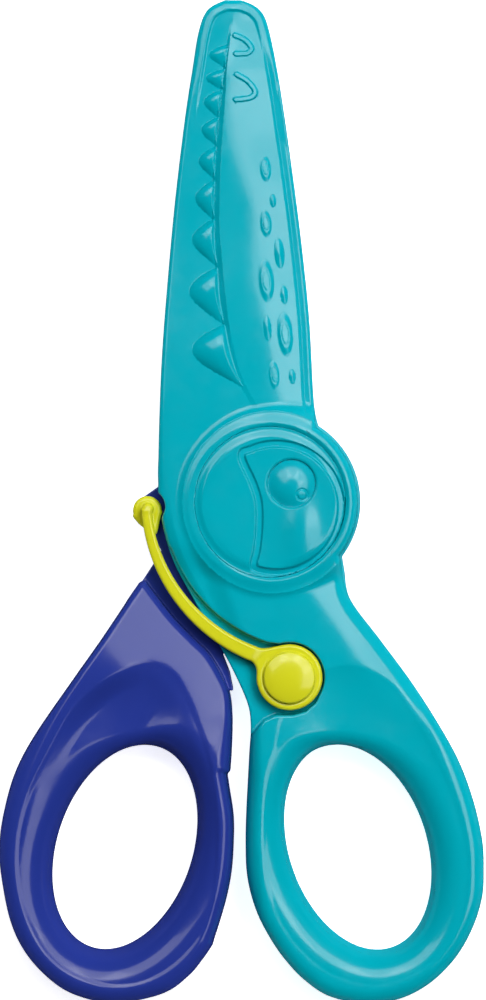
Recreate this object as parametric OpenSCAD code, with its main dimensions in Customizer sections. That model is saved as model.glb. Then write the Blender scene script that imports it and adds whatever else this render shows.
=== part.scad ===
// Children's craft scissors with wavy cutting edges, lying flat and closed.
// +Y runs from the pivot to the tip, +X to the right, +Z up out of the front face.
// The origin is on the pivot's axis, at the plane that the scissors rest on.

/* [Overall] */
// Thickness of the two finger loops
loop_t = 10; // [9:0.5:11]
// Height of the plane where the two blades slide on each other
shear_z = 5; // [4.9:0.1:5.1]
// Clearance between each lever and the shear plane
cover_gap = 0.15; // [0.1:0.05:0.25]
// Height of the front lever's face round the pivot
front_face_z = 8.6; // [8.4:0.1:8.8]
// Height of the rear lever's underside round the pivot
rear_face_z = 1.4; // [1.2:0.1:1.6]

/* [Finger loops] */
// Half length of each finger hole
hole_a = 14.2; // [13.5:0.1:14.5]
// Half width of each finger hole
hole_b = 9.1; // [8.5:0.1:9.3]
// Width of the plastic round each finger hole
loop_w = 7.3; // [6.8:0.1:7.5]
// Tilt of the finger holes' long axes from the Y axis
hole_tilt = 18.7; // [17:0.5:20]
// Distance of each hole's centre from the line midway between the loops
hole_x = 15.75; // [15.5:0.05:16]
// Distance of the holes' centres below the pivot
hole_y = 46.6; // [46:0.2:47]
// Place of the line midway between the loops
middle_x = -3.85; // [-4:0.05:-3.7]
// Height of each edge step round the loops
edge_step = 1.2; // [0.8:0.1:1.6]

/* [Pivot] */
// Radius of the raised ring round the front cap
disc_r = 12.2; // [12:0.1:12.4]
// Radius of the front cap
front_cap_r = 10.1; // [9.8:0.1:10.2]
// Radius of the rear cap
rear_cap_r = 9.5; // [9:0.1:9.6]
// Radius of the pivot post's shank
post_r = 2.4; // [2.2:0.1:2.6]
// Radial clearance of the rear lever on the post
running_gap = 0.05; // [0.03:0.01:0.08]
// Radius of the pivot post's flange
flange_r = 4.5; // [4.2:0.1:4.7]
// Core radius of the pivot screw
screw_r = 1.25; // [1.1:0.05:1.4]
// Radius of the pivot screw's head
screw_head_r = 4.0; // [3.8:0.1:4.2]

/* [Blades] */
// Thickness of each steel blade
blade_t = 1; // [0.9:0.1:1]
// Height of the waves along each cutting edge, from the middle line
wave_h = 0.6; // [0.4:0.1:0.7]
// Length of one wave
wave_l = 5.2; // [4.8:0.2:6]
// Radius of the blade screws' holes
blade_screw_r = 0.8; // [0.7:0.05:0.9]

/* [Spring] */
// Radius of the curve that the spring arm follows
arm_bend_r = 22.8; // [22.6:0.1:23]
// Width of the spring arm at its free end
arm_tip_w = 1.3; // [1.2:0.1:1.5]
// Width of the spring arm at its neck
arm_neck_w = 2.1; // [1.9:0.1:2.2]
// Outer radius of the spring's eye
eye_r = 4.45; // [4.2:0.05:4.5]
// Radius of the button's dome
dome_r = 3.5; // [3.3:0.1:3.6]
// Radius of the button's shank
button_shank_r = 1.9; // [1.8:0.1:2]
// Radius of the pin at the spring's free end
tip_pin_r = 0.5; // [0.45:0.05:0.55]

/* [Hidden] */
$fn = 64;
eps = 0.02;
teal = [0.0, 0.67, 0.75];
navy = [0.14, 0.22, 0.57];
yellow = [0.86, 0.87, 0.16];
steel = [0.72, 0.74, 0.76];

front_z = shear_z + cover_gap;
rear_z = shear_z - cover_gap;
blade_gap = 0.02;
front_blade_z = shear_z + blade_gap;
rear_blade_z = shear_z - blade_gap - blade_t;
ring_top_z = 9.6;
cap_seat_z = 8.45;
front_cap_top_z = 9.8;
rear_ring_z = 0.4;
rear_cap_t = 0.65;
post_end_z = 1.9;
flange_z = 7.2;
washer_z = 1.8;
washer_t = 0.4;
screw_head_z = 0.7;
blade_screw_l = 1.9;
jaw_base_z = 7.4;
jaw_raise = 0.8;

// Radius beyond which the front lever is as thick as the finger loops.
front_deep_r = 21.6;

// The spring's places: the button's centre, the arm's centre of bend and the mid-arm hinge.
button = [2.6, -23.6];
arm_centre = [6.05, 0.8];
arm_split_angle = 218;
arm_neck_angle = 246;
arm_free_angle = 185;
head_centre = [-16.55, -1.15];
head_r = 1.95;
head_tail = [-15.35, -4.4];
recess_z = 6.6;
// From the arm's middle line to the wall beside it.
recess_gap = 2.1;
arm_z = 6.8;
arm_t = 1.8;
clip_z = 1.98;
clip_t = 0.54;
clip_r = 3.4;
head_z = 4.92;
head_t = 1.98;
// The tip pin runs on this radius round the pivot, outside the rear lever's edge.
pin_track_r = 16.7;
pin_angle = 184;
track_gap = 0.06;

// Catmull-Rom spline through a closed or an open list of points.
function spline_point(a, b, c, d, t) =
    0.5 * ((2 * b) + (c - a) * t + (2 * a - 5 * b + 4 * c - d) * t * t
    + (3 * b - a - 3 * c + d) * t * t * t);
function closed_spline(p, steps = 4) = let (n = len(p)) [
    for (i = [0 : n - 1], k = [0 : steps - 1])
        spline_point(p[(i + n - 1) % n], p[i], p[(i + 1) % n], p[(i + 2) % n], k / steps)];
function open_spline(p, steps = 4) = let (n = len(p)) [
    for (i = [0 : n - 2], k = [0 : (i == n - 2 ? steps : steps - 1)])
        spline_point(p[max(i - 1, 0)], p[i], p[i + 1], p[min(i + 2, n - 1)], k / steps)];
function arc(c, r, a0, a1, n = 16) = [
    for (i = [0 : n]) let (a = a0 + (a1 - a0) * i / n) c + r * [cos(a), sin(a)]];
function ellipse(a, b, n = 64) = [
    for (i = [0 : n - 1]) [a * cos(360 * i / n), b * sin(360 * i / n)]];

module slab(points, z0, z1) {
    translate([0, 0, z0])
        linear_extrude(z1 - z0)
            polygon(points);
}

module disc(r, z0, z1) {
    translate([0, 0, z0])
        cylinder(r = r, h = z1 - z0);
}

// ---------- Outlines ----------
// Left side of the front lever's jaw, from the pivot to the tip.
jaw_left = [[-15.1, 0], [-15, 8.4], [-14.6, 19.2], [-13.8, 30], [-12.8, 40.8], [-11.5, 51.6],
            [-10.5, 58.2], [-9.6, 63.6], [-8.4, 66.4], [-6.1, 67.7]];
// Right side of the front lever's jaw, from the tip to the pivot.
jaw_right = [[-3.8, 67.7], [-1.6, 66.6], [-0.3, 64.3], [1.2, 57], [2.8, 46.2], [4.2, 35.4],
             [5.3, 24.6], [5.9, 13.8], [6.6, 10]];
// Left and right sides of the front lever's neck.
front_neck_right = [[10.1, -9.5], [10.9, -13.2], [14.9, -18.6], [18.9, -24], [22.4, -29.4],
                    [25.4, -34.8], [27.4, -40.2]];
front_neck_left = [[2, -38], [-3.1, -38], [-2.9, -32.8], [-3.1, -28.8], [-5, -22.7],
                   [-7.6, -18], [-10.3, -13.2], [-13.1, -7.8], [-14.6, -2.4]];
front_jaw = concat(open_spline(jaw_left), open_spline(jaw_right), [[6, 0]]);
front_neck = concat([[8, 0]], open_spline(front_neck_right), open_spline(front_neck_left),
                    [[-15.1, 0]]);

// The rear lever's thin plate, from the horn under the spring's head to the loop.
horn_angle = 178.2;
horn_r = 17.3;
track_r = pin_track_r - tip_pin_r - track_gap;
shoulder_angle = pin_angle - 2 * asin((tip_pin_r + 0.03) / 2 / pin_track_r);
rear_plate = concat(
    [[0, 6], [-11, 5]], [horn_r * [cos(horn_angle), sin(horn_angle)]],
    [horn_r * [cos(shoulder_angle), sin(shoulder_angle)]],
    arc([0, 0], track_r, shoulder_angle, 204.3, 12),
    [[-15.8, -8.4], [-17.1, -10.4], [-20, -14.7], [-9.5, -24], [-4.9, -25.6], [-5.4, -23],
     [-6.4, -20.4], [-3, -20.6], [6, -8]]);
// The rear lever's thick neck, from its corner beside the spring down both sides.
rear_neck = concat(
    open_spline([[-16.8, -10.7], [-13.2, -15.4], [-10.2, -18.5], [-8.3, -20.4], [-6.7, -22.9],
                 [-5.5, -25.6], [-5.1, -29], [-5.2, -33.5], [-5.3, -38]]),
    [[-12, -38]],
    open_spline([[-35.2, -40.2], [-33.1, -34.8], [-30.1, -29.4], [-26.6, -24], [-22.8, -18.6],
                 [-19.2, -13.2], [-17.6, -10.9]]));
// The rear lever's jaw stays hidden behind the front lever's jaw.
rear_jaw = concat(
    open_spline([[-8.4, 0], [-9.2, 8.4], [-9.4, 19.2], [-9.2, 30], [-8.8, 40.8], [-8.2, 51.6],
                 [-7.6, 60], [-6.6, 64.6], [-4.9, 66.3]]),
    open_spline([[-3.4, 65.9], [-2.1, 63.2], [-0.2, 54], [1.6, 43.5], [3.2, 32.7], [4.3, 21.9],
                 [5, 11.4], [6, 0]]));

// ---------- Shared shapes ----------
function loop_place(side) = [middle_x + side * hole_x, -hole_y];

module loop_ring(side, inset, z0, z1) {
    translate(loop_place(side))
        rotate(-90 + side * hole_tilt)
            slab(ellipse(hole_a + loop_w - inset, hole_b + loop_w - inset), z0, z1);
}

module loop_hole(side) {
    translate(loop_place(side))
        rotate(-90 + side * hole_tilt)
            slab(ellipse(hole_a, hole_b), -1, loop_t + 1);
}

// A loop built in three steps, so that its outer edges are narrower at the faces.
module loop(side, clip_x) {
    intersection() {
        union() {
            loop_ring(side, edge_step, 0, loop_t);
            loop_ring(side, 0, edge_step, loop_t - edge_step);
        }
        translate([side > 0 ? clip_x : clip_x - 60, -80, -1])
            cube([60, 60, loop_t + 2]);
    }
}

// Wavy blade: a smooth back, a waved cutting edge and a round end about the pivot.
function waved(p0, p1, n = 84) = [
    for (i = [0 : n]) let (t = i / n, d = p1 - p0, l = norm(d))
        p0 + d * t + wave_h * sin(360 * t * round(l / wave_l)) * [d[1], -d[0]] / l];
front_edge = waved([4.1, 12], [-2.2, 62.6]);
rear_edge = waved([-11, 14], [-8.6, 60]);

module blade_holes(z0) {
    translate([0, 0, z0 - 1])
        cylinder(r = post_r + running_gap, h = blade_t + 2);
}

// ---------- Front lever ----------
mouth = [[-3, 12], [-3, 13.7], [-4.9, 18], [-6.6, 24.9], [-7.4, 31.9], [-7.8, 38.1],
         [-7.5, 48.1], [-6.6, 55.3], [-5.6, 61.3], [-4.9, 65.4]];
snout = concat(open_spline(mouth),
               [for (p = jaw_right) p + [-1.6, p[1] > 66 ? -1.4 : 0]]);
// Each tooth: where it ends, where it starts and how far it stands out.
teeth = [[61.6, 58.7, 2.2], [58.3, 55.6, 2], [55.5, 51.9, 1.8], [51.7, 48.1, 1.6],
         [47.7, 43.7, 1.8], [43.1, 38.2, 2], [37.9, 31.9, 2.4], [31.3, 24, 2.8],
         [23.8, 15.6, 3]];
function mouth_x(y) = lookup(y, [for (p = mouth) [p[1], p[0]]]);

module tooth(y1, y0, w) {
    x = (mouth_x(y1) + mouth_x(y0)) / 2;
    r = ((y1 - y0) * (y1 - y0) / 4 + w * w) / (2 * w);
    intersection() {
        translate([x - w + r, (y0 + y1) / 2, jaw_base_z - eps])
            cylinder(r = r, h = jaw_raise * 0.75);
        translate([x - w - 1, y0, jaw_base_z - eps])
            cube([w + 1.4, y1 - y0, jaw_raise]);
    }
}

// Low floor under the spring, with room beside the arm for it to straighten.
module spring_recess() {
    slab(concat(arc(arm_centre, arm_bend_r - recess_gap, 206, 252),
                [[5, -19.5], [5, -23.6], [2.7, -29], [-1.1, -31.5], [-6, -33], [-16, -28],
                 [-16, -9.3]]), recess_z, 12);
    translate([button[0], button[1], 0])
        disc(eye_r + 0.5, recess_z, 12);
}

module head_notch() {
    for (shift = [[0, 0], [0.25, 0.55]]) {
        translate(head_centre + shift)
            disc(head_r + 0.25, 0, 12);
    }
    slab([[-18.5, -1.2], [-14.75, -0.6], [-14.8, -2.2], [-15, -5], [-18.5, -5]], 0, 12);
}

module front_lever_body() {
    slab(front_jaw, front_z, jaw_base_z);
    slab(snout, jaw_base_z - eps, jaw_base_z + jaw_raise);
    for (t = teeth) {
        tooth(t[0], t[1], t[2]);
    }
    slab(front_neck, front_z, front_face_z);
    disc(disc_r, front_z, ring_top_z);
    difference() {
        slab(front_neck, 0.5, loop_t - 0.5);
        disc(front_deep_r, -1, loop_t + 1);
    }
    translate([button[0], button[1], 0])
        disc(eye_r + 0.4, clip_z + clip_t + 0.03, recess_z);
    loop(1, -3.3);
}

module front_lever() {
    color(teal)
        difference() {
            front_lever_body();
            loop_hole(1);
            spring_recess();
            head_notch();
            // Seat for the cap, pocket for the post's flange and the post's bore.
            disc(front_cap_r + 0.05, cap_seat_z, 12);
            disc(flange_r + 0.05, flange_z, 12);
            disc(post_r + 0.02, 0, 12);
            // Pocket for the blade on the underside of the jaw.
            slab(front_blade_outline(0.04), 0, front_blade_z + blade_t + blade_gap);
            // Pilot holes for the blade screws.
            for (p = front_screw_places) {
                translate(p)
                    disc(blade_screw_r - 0.2, 5, front_blade_z + blade_screw_l + 0.1);
            }
            // Bore for the button's shank, with a pocket behind it for the clip.
            translate([button[0], button[1], 0]) {
                disc(button_shank_r + 0.02, 0, 12);
                disc(clip_r + 0.4, -1, clip_z + clip_t + 0.03);
            }
        }
}

// ---------- Blades ----------
front_screw_places = [[-8.6, 17], [-9, 33]];
rear_screw_places = [[-1.6, 18], [-2.2, 34]];

function front_blade_outline(grow) = concat(
    [for (p = front_edge) p + [grow, 0]],
    open_spline([[-5.2, 64.4 + grow], [-8.2 - grow, 60], [-10.4 - grow, 48], [-11.9 - grow, 34],
                 [-12.4 - grow, 20], [-11.4 - grow, 8], [-8.6 - grow, 0.6]]),
    arc([0, 0], 8.6 + grow, 184, 368, 24));

function rear_blade_outline(grow) = concat(
    [for (p = rear_edge) p - [grow, 0]],
    open_spline([[-6.4, 63.6 + grow], [-4.2 + grow, 62.6], [-1.8 + grow, 52], [0.9 + grow, 38],
                 [2.6 + grow, 24], [4.2 + grow, 12], [8.4 + grow, 2]]),
    arc([0, 0], 8.6 + grow, 368 - 360, -180, 24));

module blade_screw_holes(places, z0) {
    for (p = places) {
        translate(p)
            disc(blade_screw_r, z0 - 1, z0 + blade_t + 1);
    }
}

module front_blade() {
    color(steel)
        difference() {
            slab(front_blade_outline(0), front_blade_z, front_blade_z + blade_t);
            blade_holes(front_blade_z);
            for (p = front_screw_places) {
                translate([p[0], p[1], front_blade_z - eps])
                    cylinder(r1 = 1.62, r2 = blade_screw_r, h = 0.6);
            }
            blade_screw_holes(front_screw_places, front_blade_z);
        }
}

module rear_blade() {
    color(steel)
        difference() {
            slab(rear_blade_outline(0), rear_blade_z, rear_blade_z + blade_t);
            blade_holes(rear_blade_z);
            for (p = rear_screw_places) {
                translate([p[0], p[1], rear_blade_z + blade_t + eps - 0.6])
                    cylinder(r1 = blade_screw_r, r2 = 1.62, h = 0.6);
            }
            blade_screw_holes(rear_screw_places, rear_blade_z);
        }
}

// Countersunk self-tapping screw with its flat head at z = 0 and its point up.
module blade_screw() {
    difference() {
        union() {
            cylinder(r1 = 1.5, r2 = 0.55, h = 0.7);
            cylinder(r = 0.6, h = blade_screw_l);
        }
        for (turn = [0, 90]) {
            rotate(turn)
                translate([-0.9, -0.15, -eps])
                    cube([1.8, 0.3, 0.32]);
        }
    }
}

module front_blade_screws() {
    color(steel)
        for (p = front_screw_places) {
            translate([p[0], p[1], front_blade_z + 0.05])
                blade_screw();
        }
}

module rear_blade_screws() {
    color(steel)
        for (p = rear_screw_places) {
            translate([p[0], p[1], rear_blade_z + blade_t - 0.05])
                mirror([0, 0, 1])
                    blade_screw();
        }
}

// ---------- Pivot ----------
module front_pivot_cap() {
    color(teal)
        difference() {
            union() {
                disc(front_cap_r, cap_seat_z + blade_gap, front_cap_top_z - 0.5);
                disc(front_cap_r - 0.7, cap_seat_z + blade_gap, front_cap_top_z);
                translate([2.9, 2.5, front_cap_top_z - eps])
                    cylinder(r1 = 3.2, r2 = 2.4, h = 0.3);
            }
            translate([4.3, 1, front_cap_top_z])
                disc(0.72, 0, 1);
        }
}

module pivot_post() {
    color(steel)
        difference() {
            union() {
                disc(flange_r, flange_z + blade_gap, cap_seat_z - 0.05);
                disc(post_r, post_end_z, flange_z + 0.1);
            }
            disc(screw_r + 0.02, 0, 6.6);
        }
}

module pivot_screw() {
    color(steel)
        difference() {
            union() {
                disc(screw_head_r, screw_head_z, washer_z);
                disc(screw_r, washer_z - 0.1, 6.4);
            }
            for (turn = [0, 90]) {
                rotate(turn)
                    translate([-2.2, -0.4, screw_head_z - 1])
                        cube([4.4, 0.8, 1.6]);
            }
        }
}

module pivot_spring_washer() {
    color(steel)
        translate([0, 0, washer_z + 0.01])
            difference() {
                cylinder(r = screw_head_r + 0.3, h = washer_t - 0.02);
                translate([0, 0, -1])
                    cylinder(r = post_r + 0.15, h = 3);
                rotate(30)
                    translate([0, -0.3, -1])
                        cube([9, 0.6, 3]);
            }
}

module rear_pivot_cap() {
    color(navy)
        disc(rear_cap_r, 0, rear_cap_t);
}

// ---------- Rear lever ----------
module rear_lever_body() {
    slab(rear_plate, rear_face_z, rear_z);
    disc(disc_r - 0.4, rear_ring_z, rear_z);
    slab(rear_jaw, 1.8, rear_z);
    slab(rear_neck, 0.5, loop_t - 0.5);
    loop(-1, -4.9);
}

module rear_lever() {
    color(navy)
        difference() {
            rear_lever_body();
            loop_hole(-1);
            disc(rear_cap_r + 0.05, -1, rear_cap_t + blade_gap);
            disc(screw_head_r + 0.4, -1, washer_z + washer_t);
            disc(post_r + running_gap, -1, loop_t);
            slab(rear_blade_outline(0.04), rear_blade_z - blade_gap, 12);
            for (p = rear_screw_places) {
                translate(p)
                    disc(blade_screw_r - 0.2, shear_z - blade_screw_l - 0.2, 12);
            }
        }
}

// ---------- Spring ----------
function arm_width(angle) = arm_tip_w
    + (arm_neck_w - arm_tip_w) * (angle - arm_free_angle) / (arm_neck_angle - arm_free_angle);
function arm_side(a0, a1, side, n = 18) = [
    for (i = [0 : n]) let (a = a0 + (a1 - a0) * i / n)
        arm_centre + (arm_bend_r + side * arm_width(a) / 2) * [cos(a), sin(a)]];
function arm_outline(a0, a1) = concat(arm_side(a0, a1, 1), arm_side(a1, a0, -1));

module spring_root() {
    color(yellow)
        difference() {
            union() {
                slab(arm_outline(arm_split_angle, arm_neck_angle + 6), arm_z, arm_z + arm_t);
                slab([[-3.4, -18.8], [0.4, -20], [-1.2, -26.2], [-2.2, -23.2], [-4.3, -21]],
                     arm_z, arm_z + arm_t);
                translate([button[0], button[1], 0])
                    disc(eye_r, arm_z, arm_z + arm_t + 0.2);
            }
            translate([button[0], button[1], 0])
                disc(button_shank_r + running_gap, 0, 12);
        }
}

module spring_tip() {
    color(yellow) {
        slab(arm_outline(arm_free_angle, arm_split_angle - 0.4), arm_z, arm_z + arm_t - 0.1);
        translate(head_centre)
            disc(head_r, head_z, head_z + head_t);
        slab([head_centre + [-1.5, -1.2], head_tail + [-0.5, 0], head_tail + [0.1, 0.1],
              head_centre + [1.93, -0.3]], head_z, head_z + head_t);
        translate(pin_track_r * [cos(pin_angle), sin(pin_angle)])
            disc(tip_pin_r, 2.2, head_z + 0.5);
    }
}

module spring_button() {
    color(yellow)
        translate([button[0], button[1], 0])
            difference() {
                union() {
                    disc(dome_r, arm_z + arm_t + 0.22, arm_z + arm_t + 0.9);
                    translate([0, 0, arm_z + arm_t + 0.9 - eps])
                        cylinder(r1 = dome_r - 0.3, r2 = dome_r - 1.5, h = 0.4);
                    disc(button_shank_r, 1.4, arm_z + arm_t + 0.4);
                }
                // Groove for the clip.
                difference() {
                    disc(button_shank_r + 1, 1.95, 2.55);
                    disc(button_shank_r - 0.4, 1, 3);
                }
            }
}

module spring_button_clip() {
    color(steel)
        translate([button[0], button[1], clip_z])
            difference() {
                cylinder(r = clip_r, h = clip_t);
                translate([0, 0, -1])
                    cylinder(r = button_shank_r - 0.38, h = 3);
                translate([0, -1.1, -1])
                    cube([9, 2.2, 3]);
            }
}

front_lever();
front_blade();
front_blade_screws();
front_pivot_cap();
pivot_post();
pivot_screw();
pivot_spring_washer();
spring_button();
spring_button_clip();
spring_root();
spring_tip();
rear_lever();
rear_blade();
rear_blade_screws();
rear_pivot_cap();
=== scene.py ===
"""Looks of the children's craft scissors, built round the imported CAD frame.

Each moulded or stamped piece is one closed surface. A field function in millimetres is negative
inside the piece; it is meshed on a grid, and the mesh is then refined until it lies on the field's
zero surface. The fields follow the CAD model's outlines and heights, so each piece replaces its CAD
node in place.
"""
import math

import bpy
import numpy as np
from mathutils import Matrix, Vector

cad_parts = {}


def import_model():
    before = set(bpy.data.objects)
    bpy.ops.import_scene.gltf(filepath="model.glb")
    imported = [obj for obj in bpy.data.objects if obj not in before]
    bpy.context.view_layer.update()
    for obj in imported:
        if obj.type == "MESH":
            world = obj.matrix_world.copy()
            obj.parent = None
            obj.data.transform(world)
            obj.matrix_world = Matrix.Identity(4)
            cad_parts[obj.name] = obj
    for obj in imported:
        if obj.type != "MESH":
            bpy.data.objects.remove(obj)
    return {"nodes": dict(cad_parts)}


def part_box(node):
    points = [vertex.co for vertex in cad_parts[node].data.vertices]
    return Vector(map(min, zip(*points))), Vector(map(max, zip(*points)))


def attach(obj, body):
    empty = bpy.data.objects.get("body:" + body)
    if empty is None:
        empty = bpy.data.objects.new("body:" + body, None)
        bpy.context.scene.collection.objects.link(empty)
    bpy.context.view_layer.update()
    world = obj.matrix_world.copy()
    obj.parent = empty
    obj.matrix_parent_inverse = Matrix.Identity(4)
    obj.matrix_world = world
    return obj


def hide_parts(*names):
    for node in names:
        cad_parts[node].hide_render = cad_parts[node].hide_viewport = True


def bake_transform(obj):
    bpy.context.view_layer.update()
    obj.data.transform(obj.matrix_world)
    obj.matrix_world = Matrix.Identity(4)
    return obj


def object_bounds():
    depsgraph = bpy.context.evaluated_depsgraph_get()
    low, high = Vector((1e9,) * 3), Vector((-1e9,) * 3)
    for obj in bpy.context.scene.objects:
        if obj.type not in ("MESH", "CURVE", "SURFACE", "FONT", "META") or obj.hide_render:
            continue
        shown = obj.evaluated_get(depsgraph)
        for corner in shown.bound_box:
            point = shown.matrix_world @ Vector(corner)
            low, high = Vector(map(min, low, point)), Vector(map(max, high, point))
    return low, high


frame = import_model()
cad_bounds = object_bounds()

MM = 0.001


# ---------------------------------------------------------------- curves and plan distances
def spline(points, closed=False, steps=12):
    """Catmull-Rom curve through the points, as a dense polyline."""
    p = np.array(points, float)
    n = len(p)
    t = np.arange(steps)[:, None] / steps
    out = []
    for i in range(n if closed else n - 1):
        if closed:
            a, b, c, d = p[i - 1], p[i], p[(i + 1) % n], p[(i + 2) % n]
        else:
            a, b, c, d = p[max(i - 1, 0)], p[i], p[i + 1], p[min(i + 2, n - 1)]
        out.append(0.5 * (2 * b + (c - a) * t + (2 * a - 5 * b + 4 * c - d) * t**2
                          + (3 * b - a - 3 * c + d) * t**3))
    if not closed:
        out.append(p[-1:])
    return np.concatenate(out)


def arc(centre, radius, start, end, steps=24):
    """Points of a circular arc; angles in degrees."""
    a = np.radians(np.linspace(start, end, steps + 1))
    return np.stack([centre[0] + radius * np.cos(a), centre[1] + radius * np.sin(a)], 1)


def line_distance(points, x, y, closed):
    """Distance from (x, y) to a polyline; negative inside it when it is closed."""
    x, y = np.broadcast_arrays(x, y)
    p = np.asarray(points, float)
    q = np.roll(p, -1, 0) if closed else p[1:]
    best = np.full(x.shape, 1e9)
    inside = np.zeros(x.shape, bool)
    for (ax, ay), (bx, by) in zip(p, q):
        dx, dy = bx - ax, by - ay
        length2 = dx * dx + dy * dy
        if length2 < 1e-12:
            continue
        t = np.clip(((x - ax) * dx + (y - ay) * dy) / length2, 0, 1)
        best = np.minimum(best, (x - ax - t * dx) ** 2 + (y - ay - t * dy) ** 2)
        if closed and ay != by:
            inside ^= ((ay > y) != (by > y)) & (x < dx * (y - ay) / dy + ax)
    best = np.sqrt(best)
    return np.where(inside, -best, best) if closed else best


class Plan:
    """A plan distance kept on a grid and read back with cubic interpolation, so that it is smooth."""

    def __init__(self, distance, low=(-40, -71), high=(33, 72), step=0.4):
        self.low, self.step = low, step
        xs = np.arange(low[0], high[0], step)
        ys = np.arange(low[1], high[1], step)
        self.values = distance(*np.meshgrid(xs, ys, indexing="ij"))

    def __call__(self, x, y):
        nx, ny = self.values.shape
        u = np.clip((x - self.low[0]) / self.step, 1, nx - 3)
        v = np.clip((y - self.low[1]) / self.step, 1, ny - 3)
        i, j = u.astype(int), v.astype(int)
        weights_v = self.weights(v - j)
        out = 0.0
        for a, wa in enumerate(self.weights(u - i)):
            for b, wb in enumerate(weights_v):
                out = out + wa * wb * self.values[i + a - 1, j + b - 1]
        return out

    @staticmethod
    def weights(t):
        return (0.5 * (-t + 2 * t**2 - t**3), 0.5 * (2 - 5 * t**2 + 3 * t**3),
                0.5 * (t + 4 * t**2 - 3 * t**3), 0.5 * (t**3 - t**2))


def outline(points):
    """Plan distance to a closed outline."""
    return Plan(lambda x, y: line_distance(points, x, y, True))


# ---------------------------------------------------------------- field arithmetic
def step_up(low, high, v):
    """Smooth step from 0 at low to 1 at high; low may be the larger."""
    t = np.clip((v - low) / (high - low), 0, 1)
    return t * t * (3 - 2 * t)


def meet(a, b, radius):
    """Intersection of two fields with a round edge."""
    u, v = np.maximum(a + radius, 0), np.maximum(b + radius, 0)
    return np.minimum(np.maximum(a, b), -radius) + np.hypot(u, v)


def join(a, b, radius):
    """Union of two fields with a round inner corner."""
    u, v = np.maximum(radius - a, 0), np.maximum(radius - b, 0)
    return np.maximum(np.minimum(a, b), radius) - np.hypot(u, v)


def soft_min(a, b, k):
    """Minimum of two values, rounded where they differ by less than k."""
    h = np.maximum(k - np.abs(a - b), 0) / k
    return np.minimum(a, b) - h * h * k / 4


def soft_max(a, b, k):
    """Maximum of two values, rounded likewise."""
    return -soft_min(-a, -b, k)


def bump(v, centre, half):
    """Round hump of height 1 at centre that ends at half either side."""
    t = np.clip(np.abs(v - centre) / half, 0, 1)
    return (1 - t * t) ** 2


# ---------------------------------------------------------------- meshing
CORNERS = [(i, j, k) for i in (0, 1) for j in (0, 1) for k in (0, 1)]
CELL_EDGES = [(a, b) for a in range(8) for b in range(a + 1, 8)
              if sum(abs(p - q) for p, q in zip(CORNERS[a], CORNERS[b])) == 1]


def net(field, low, high, step):
    """Surface net of a field's zero surface on a regular grid: vertices and triangles."""
    axes = [np.arange(a - 1.5 * step, b + 1.5 * step, step) for a, b in zip(low, high)]
    grid = np.meshgrid(*axes, indexing="ij", sparse=True)
    f = np.broadcast_to(field(*grid), [len(a) for a in axes])
    inside = f < 0
    n = [s - 1 for s in f.shape]
    count = sum(inside[i:i + n[0], j:j + n[1], k:k + n[2]].astype(np.int8) for i, j, k in CORNERS)
    cells = np.argwhere((count > 0) & (count < 8))
    index = -np.ones(n, np.int64)
    index[tuple(cells.T)] = np.arange(len(cells))
    corner = np.array(CORNERS)
    value = f[tuple((cells[:, None, :] + corner[None]).transpose(2, 0, 1))]
    total = np.zeros((len(cells), 3))
    hits = np.zeros(len(cells))
    for a, b in CELL_EDGES:
        cross = (value[:, a] < 0) != (value[:, b] < 0)
        t = np.where(cross, value[:, a] / np.where(cross, value[:, a] - value[:, b], 1), 0)
        total += cross[:, None] * (corner[a] + t[:, None] * (corner[b] - corner[a]))
        hits += cross
    verts = (cells + total / hits[:, None]) * step + [a[0] for a in axes]
    quads = []
    for axis in range(3):
        u, v = (axis + 1) % 3, (axis + 2) % 3
        ahead = np.roll(inside, -1, axis)
        edge = np.argwhere(inside != ahead)
        edge = edge[(edge[:, axis] < n[axis]) & (edge[:, u] > 0) & (edge[:, v] > 0)
                    & (edge[:, u] < n[u]) & (edge[:, v] < n[v])]
        unit_u, unit_v = np.eye(3, dtype=int)[u], np.eye(3, dtype=int)[v]
        ring = [edge - unit_u - unit_v, edge - unit_v, edge, edge - unit_u]
        quad = np.stack([index[tuple(c.T)] for c in ring], 1)
        out = inside[tuple(edge.T)]
        quads.append(np.where(out[:, None], quad, quad[:, ::-1]))
    quads = np.concatenate(quads)
    return verts, np.concatenate([quads[:, [0, 1, 2]], quads[:, [0, 2, 3]]])


def slope(field, p, h=0.02):
    """Value and gradient of a field at points p."""
    x, y, z = p.T
    f = field(x, y, z)
    g = np.stack([field(x + h, y, z) - f, field(x, y + h, z) - f, field(x, y, z + h) - f], 1) / h
    return f, g


def settle(field, p, rounds, reach):
    """Points moved onto the field's zero surface."""
    for _ in range(rounds):
        f, g = slope(field, p)
        move = -f[:, None] * g / np.maximum((g * g).sum(1), 0.05)[:, None]
        length = np.linalg.norm(move, axis=1)[:, None]
        p = p + move * np.minimum(1, reach / np.maximum(length, 1e-9))
    return p


def unit(v):
    """Vectors scaled to length 1."""
    return v / np.maximum(np.linalg.norm(v, axis=1), 1e-9)[:, None]


# Edges longer than LONG are also split where the shading turns by more than BEND between their
# ends and their middle.
BEND, LONG = 0.04, 0.24


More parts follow.
